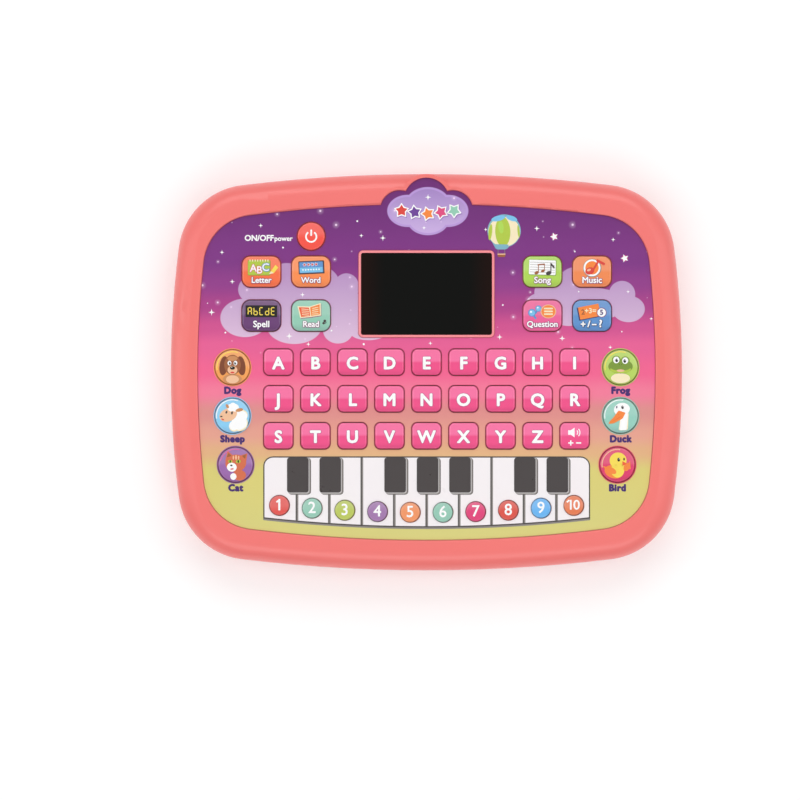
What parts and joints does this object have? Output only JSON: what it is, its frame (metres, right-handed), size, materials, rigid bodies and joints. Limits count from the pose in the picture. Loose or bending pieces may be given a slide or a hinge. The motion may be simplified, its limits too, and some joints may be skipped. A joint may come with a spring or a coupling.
{
  "type": "kids toy tablet",
  "caption": "Flat lens-shaped learning tablet for children: a framed colour face with a small display, sprung letter, picture and piano number keys, on battery power.",
  "frame": {"origin": "middle of the footprint on the flat back that the tablet lies on", "axes": "+X to the right along the long side, +Y to the tablet's top edge, +Z out of the face"},
  "size_m": [0.23, 0.1782, 0.025],
  "materials": {
    "coral_shell": "glossy moulded ABS, coral",
    "black_window": "tinted acrylic, polished",
    "circuit_board": "green solder mask on laminate",
    "speaker_steel": "pressed steel frame and paper cone",
    "battery_jacket": "printed foil jacket on a steel can",
    "screw_steel": "zinc-plated",
    "vermilion_key": "glossy printed cap, orange-red",
    "orange_key": "glossy printed cap, orange",
    "purple_key": "glossy printed cap, purple",
    "mint_key": "glossy printed cap, mint",
    "lime_key": "glossy printed cap, lime",
    "pink_key": "glossy moulded cap, pink",
    "magenta_key": "glossy printed cap, magenta",
    "blue_key": "glossy printed cap, sky blue"
  },
  "bodies": {
    "case": {"front_shell": "coral_shell", "rear_shell": "coral_shell", "display_window": "black_window", "main_board": "circuit_board", "speaker": "speaker_steel", "batteries": "battery_jacket", "screws": "screw_steel"},
    "battery_door": {"battery_door": "coral_shell"},
    "power_button": {"power_button": "vermilion_key"},
    "letter_key": {"letter_key": "vermilion_key"},
    "word_key": {"word_key": "orange_key"},
    "spell_key": {"spell_key": "purple_key"},
    "read_key": {"read_key": "mint_key"},
    "song_key": {"song_key": "lime_key"},
    "music_key": {"music_key": "orange_key"},
    "question_key": {"question_key": "pink_key"},
    "maths_key": {"maths_key": "blue_key"},
    "dog_button": {"dog_button": "orange_key"},
    "sheep_button": {"sheep_button": "blue_key"},
    "cat_button": {"cat_button": "purple_key"},
    "frog_button": {"frog_button": "lime_key"},
    "duck_button": {"duck_button": "mint_key"},
    "bird_button": {"bird_button": "magenta_key"},
    "volume_key": {"volume_key": "pink_key"},
    "key_a": {"key_a": "pink_key"},
    "key_b": {"key_b": "pink_key"},
    "key_c": {"key_c": "pink_key"},
    "key_d": {"key_d": "pink_key"},
    "key_e": {"key_e": "pink_key"},
    "key_f": {"key_f": "pink_key"},
    "key_g": {"key_g": "pink_key"},
    "key_h": {"key_h": "pink_key"},
    "key_i": {"key_i": "pink_key"},
    "key_j": {"key_j": "pink_key"},
    "key_k": {"key_k": "pink_key"},
    "key_l": {"key_l": "pink_key"},
    "key_m": {"key_m": "pink_key"},
    "key_n": {"key_n": "pink_key"},
    "key_o": {"key_o": "pink_key"},
    "key_p": {"key_p": "pink_key"},
    "key_q": {"key_q": "pink_key"},
    "key_r": {"key_r": "pink_key"},
    "key_s": {"key_s": "pink_key"},
    "key_t": {"key_t": "pink_key"},
    "key_u": {"key_u": "pink_key"},
    "key_v": {"key_v": "pink_key"},
    "key_w": {"key_w": "pink_key"},
    "key_x": {"key_x": "pink_key"},
    "key_y": {"key_y": "pink_key"},
    "key_z": {"key_z": "pink_key"},
    "number_key_1": {"number_key_1": "vermilion_key"},
    "number_key_2": {"number_key_2": "mint_key"},
    "number_key_3": {"number_key_3": "lime_key"},
    "number_key_4": {"number_key_4": "purple_key"},
    "number_key_5": {"number_key_5": "orange_key"},
    "number_key_6": {"number_key_6": "mint_key"},
    "number_key_7": {"number_key_7": "magenta_key"},
    "number_key_8": {"number_key_8": "vermilion_key"},
    "number_key_9": {"number_key_9": "blue_key"},
    "number_key_10": {"number_key_10": "vermilion_key"}
  },
  "joints": [
    {"name": "battery_door_lift", "type": "slide", "parent": "case", "child": "battery_door", "axis": [0, 0, -1], "range_m": [0, 0.02]},
    {"name": "power_button_press", "type": "slide", "parent": "case", "child": "power_button", "axis": [0, 0, -1], "range_m": [0, 0.0008], "stiffness_N_per_m": 800, "springref_m": -0.0006},
    {"name": "letter_key_press", "type": "slide", "parent": "case", "child": "letter_key", "axis": [0, 0, -1], "range_m": [0, 0.0008], "stiffness_N_per_m": 800, "springref_m": -0.0006},
    {"name": "word_key_press", "type": "slide", "parent": "case", "child": "word_key", "axis": [0, 0, -1], "range_m": [0, 0.0008], "stiffness_N_per_m": 800, "springref_m": -0.0006},
    {"name": "spell_key_press", "type": "slide", "parent": "case", "child": "spell_key", "axis": [0, 0, -1], "range_m": [0, 0.0008], "stiffness_N_per_m": 800, "springref_m": -0.0006},
    {"name": "read_key_press", "type": "slide", "parent": "case", "child": "read_key", "axis": [0, 0, -1], "range_m": [0, 0.0008], "stiffness_N_per_m": 800, "springref_m": -0.0006},
    {"name": "song_key_press", "type": "slide", "parent": "case", "child": "song_key", "axis": [0, 0, -1], "range_m": [0, 0.0008], "stiffness_N_per_m": 800, "springref_m": -0.0006},
    {"name": "music_key_press", "type": "slide", "parent": "case", "child": "music_key", "axis": [0, 0, -1], "range_m": [0, 0.0008], "stiffness_N_per_m": 800, "springref_m": -0.0006},
    {"name": "question_key_press", "type": "slide", "parent": "case", "child": "question_key", "axis": [0, 0, -1], "range_m": [0, 0.0008], "stiffness_N_per_m": 800, "springref_m": -0.0006},
    {"name": "maths_key_press", "type": "slide", "parent": "case", "child": "maths_key", "axis": [0, 0, -1], "range_m": [0, 0.0008], "stiffness_N_per_m": 800, "springref_m": -0.0006},
    {"name": "dog_button_press", "type": "slide", "parent": "case", "child": "dog_button", "axis": [0, 0, -1], "range_m": [0, 0.0008], "stiffness_N_per_m": 800, "springref_m": -0.0006},
    {"name": "sheep_button_press", "type": "slide", "parent": "case", "child": "sheep_button", "axis": [0, 0, -1], "range_m": [0, 0.0008], "stiffness_N_per_m": 800, "springref_m": -0.0006},
    {"name": "cat_button_press", "type": "slide", "parent": "case", "child": "cat_button", "axis": [0, 0, -1], "range_m": [0, 0.0008], "stiffness_N_per_m": 800, "springref_m": -0.0006},
    {"name": "frog_button_press", "type": "slide", "parent": "case", "child": "frog_button", "axis": [0, 0, -1], "range_m": [0, 0.0008], "stiffness_N_per_m": 800, "springref_m": -0.0006},
    {"name": "duck_button_press", "type": "slide", "parent": "case", "child": "duck_button", "axis": [0, 0, -1], "range_m": [0, 0.0008], "stiffness_N_per_m": 800, "springref_m": -0.0006},
    {"name": "bird_button_press", "type": "slide", "parent": "case", "child": "bird_button", "axis": [0, 0, -1], "range_m": [0, 0.0008], "stiffness_N_per_m": 800, "springref_m": -0.0006},
    {"name": "volume_key_press", "type": "slide", "parent": "case", "child": "volume_key", "axis": [0, 0, -1], "range_m": [0, 0.0008], "stiffness_N_per_m": 800, "springref_m": -0.0006},
    {"name": "key_a_press", "type": "slide", "parent": "case", "child": "key_a", "axis": [0, 0, -1], "range_m": [0, 0.0008], "stiffness_N_per_m": 800, "springref_m": -0.0006},
    {"name": "key_b_press", "type": "slide", "parent": "case", "child": "key_b", "axis": [0, 0, -1], "range_m": [0, 0.0008], "stiffness_N_per_m": 800, "springref_m": -0.0006},
    {"name": "key_c_press", "type": "slide", "parent": "case", "child": "key_c", "axis": [0, 0, -1], "range_m": [0, 0.0008], "stiffness_N_per_m": 800, "springref_m": -0.0006},
    {"name": "key_d_press", "type": "slide", "parent": "case", "child": "key_d", "axis": [0, 0, -1], "range_m": [0, 0.0008], "stiffness_N_per_m": 800, "springref_m": -0.0006},
    {"name": "key_e_press", "type": "slide", "parent": "case", "child": "key_e", "axis": [0, 0, -1], "range_m": [0, 0.0008], "stiffness_N_per_m": 800, "springref_m": -0.0006},
    {"name": "key_f_press", "type": "slide", "parent": "case", "child": "key_f", "axis": [0, 0, -1], "range_m": [0, 0.0008], "stiffness_N_per_m": 800, "springref_m": -0.0006},
    {"name": "key_g_press", "type": "slide", "parent": "case", "child": "key_g", "axis": [0, 0, -1], "range_m": [0, 0.0008], "stiffness_N_per_m": 800, "springref_m": -0.0006},
    {"name": "key_h_press", "type": "slide", "parent": "case", "child": "key_h", "axis": [0, 0, -1], "range_m": [0, 0.0008], "stiffness_N_per_m": 800, "springref_m": -0.0006},
    {"name": "key_i_press", "type": "slide", "parent": "case", "child": "key_i", "axis": [0, 0, -1], "range_m": [0, 0.0008], "stiffness_N_per_m": 800, "springref_m": -0.0006},
    {"name": "key_j_press", "type": "slide", "parent": "case", "child": "key_j", "axis": [0, 0, -1], "range_m": [0, 0.0008], "stiffness_N_per_m": 800, "springref_m": -0.0006},
    {"name": "key_k_press", "type": "slide", "parent": "case", "child": "key_k", "axis": [0, 0, -1], "range_m": [0, 0.0008], "stiffness_N_per_m": 800, "springref_m": -0.0006},
    {"name": "key_l_press", "type": "slide", "parent": "case", "child": "key_l", "axis": [0, 0, -1], "range_m": [0, 0.0008], "stiffness_N_per_m": 800, "springref_m": -0.0006},
    {"name": "key_m_press", "type": "slide", "parent": "case", "child": "key_m", "axis": [0, 0, -1], "range_m": [0, 0.0008], "stiffness_N_per_m": 800, "springref_m": -0.0006},
    {"name": "key_n_press", "type": "slide", "parent": "case", "child": "key_n", "axis": [0, 0, -1], "range_m": [0, 0.0008], "stiffness_N_per_m": 800, "springref_m": -0.0006},
    {"name": "key_o_press", "type": "slide", "parent": "case", "child": "key_o", "axis": [0, 0, -1], "range_m": [0, 0.0008], "stiffness_N_per_m": 800, "springref_m": -0.0006},
    {"name": "key_p_press", "type": "slide", "parent": "case", "child": "key_p", "axis": [0, 0, -1], "range_m": [0, 0.0008], "stiffness_N_per_m": 800, "springref_m": -0.0006},
    {"name": "key_q_press", "type": "slide", "parent": "case", "child": "key_q", "axis": [0, 0, -1], "range_m": [0, 0.0008], "stiffness_N_per_m": 800, "springref_m": -0.0006},
    {"name": "key_r_press", "type": "slide", "parent": "case", "child": "key_r", "axis": [0, 0, -1], "range_m": [0, 0.0008], "stiffness_N_per_m": 800, "springref_m": -0.0006},
    {"name": "key_s_press", "type": "slide", "parent": "case", "child": "key_s", "axis": [0, 0, -1], "range_m": [0, 0.0008], "stiffness_N_per_m": 800, "springref_m": -0.0006},
    {"name": "key_t_press", "type": "slide", "parent": "case", "child": "key_t", "axis": [0, 0, -1], "range_m": [0, 0.0008], "stiffness_N_per_m": 800, "springref_m": -0.0006},
    {"name": "key_u_press", "type": "slide", "parent": "case", "child": "key_u", "axis": [0, 0, -1], "range_m": [0, 0.0008], "stiffness_N_per_m": 800, "springref_m": -0.0006},
    {"name": "key_v_press", "type": "slide", "parent": "case", "child": "key_v", "axis": [0, 0, -1], "range_m": [0, 0.0008], "stiffness_N_per_m": 800, "springref_m": -0.0006},
    {"name": "key_w_press", "type": "slide", "parent": "case", "child": "key_w", "axis": [0, 0, -1], "range_m": [0, 0.0008], "stiffness_N_per_m": 800, "springref_m": -0.0006},
    {"name": "key_x_press", "type": "slide", "parent": "case", "child": "key_x", "axis": [0, 0, -1], "range_m": [0, 0.0008], "stiffness_N_per_m": 800, "springref_m": -0.0006},
    {"name": "key_y_press", "type": "slide", "parent": "case", "child": "key_y", "axis": [0, 0, -1], "range_m": [0, 0.0008], "stiffness_N_per_m": 800, "springref_m": -0.0006},
    {"name": "key_z_press", "type": "slide", "parent": "case", "child": "key_z", "axis": [0, 0, -1], "range_m": [0, 0.0008], "stiffness_N_per_m": 800, "springref_m": -0.0006},
    {"name": "number_key_1_press", "type": "slide", "parent": "case", "child": "number_key_1", "axis": [0, 0, -1], "range_m": [0, 0.0008], "stiffness_N_per_m": 800, "springref_m": -0.0006},
    {"name": "number_key_2_press", "type": "slide", "parent": "case", "child": "number_key_2", "axis": [0, 0, -1], "range_m": [0, 0.0008], "stiffness_N_per_m": 800, "springref_m": -0.0006},
    {"name": "number_key_3_press", "type": "slide", "parent": "case", "child": "number_key_3", "axis": [0, 0, -1], "range_m": [0, 0.0008], "stiffness_N_per_m": 800, "springref_m": -0.0006},
    {"name": "number_key_4_press", "type": "slide", "parent": "case", "child": "number_key_4", "axis": [0, 0, -1], "range_m": [0, 0.0008], "stiffness_N_per_m": 800, "springref_m": -0.0006},
    {"name": "number_key_5_press", "type": "slide", "parent": "case", "child": "number_key_5", "axis": [0, 0, -1], "range_m": [0, 0.0008], "stiffness_N_per_m": 800, "springref_m": -0.0006},
    {"name": "number_key_6_press", "type": "slide", "parent": "case", "child": "number_key_6", "axis": [0, 0, -1], "range_m": [0, 0.0008], "stiffness_N_per_m": 800, "springref_m": -0.0006},
    {"name": "number_key_7_press", "type": "slide", "parent": "case", "child": "number_key_7", "axis": [0, 0, -1], "range_m": [0, 0.0008], "stiffness_N_per_m": 800, "springref_m": -0.0006},
    {"name": "number_key_8_press", "type": "slide", "parent": "case", "child": "number_key_8", "axis": [0, 0, -1], "range_m": [0, 0.0008], "stiffness_N_per_m": 800, "springref_m": -0.0006},
    {"name": "number_key_9_press", "type": "slide", "parent": "case", "child": "number_key_9", "axis": [0, 0, -1], "range_m": [0, 0.0008], "stiffness_N_per_m": 800, "springref_m": -0.0006},
    {"name": "number_key_10_press", "type": "slide", "parent": "case", "child": "number_key_10", "axis": [0, 0, -1], "range_m": [0, 0.0008], "stiffness_N_per_m": 800, "springref_m": -0.0006}
  ]
}
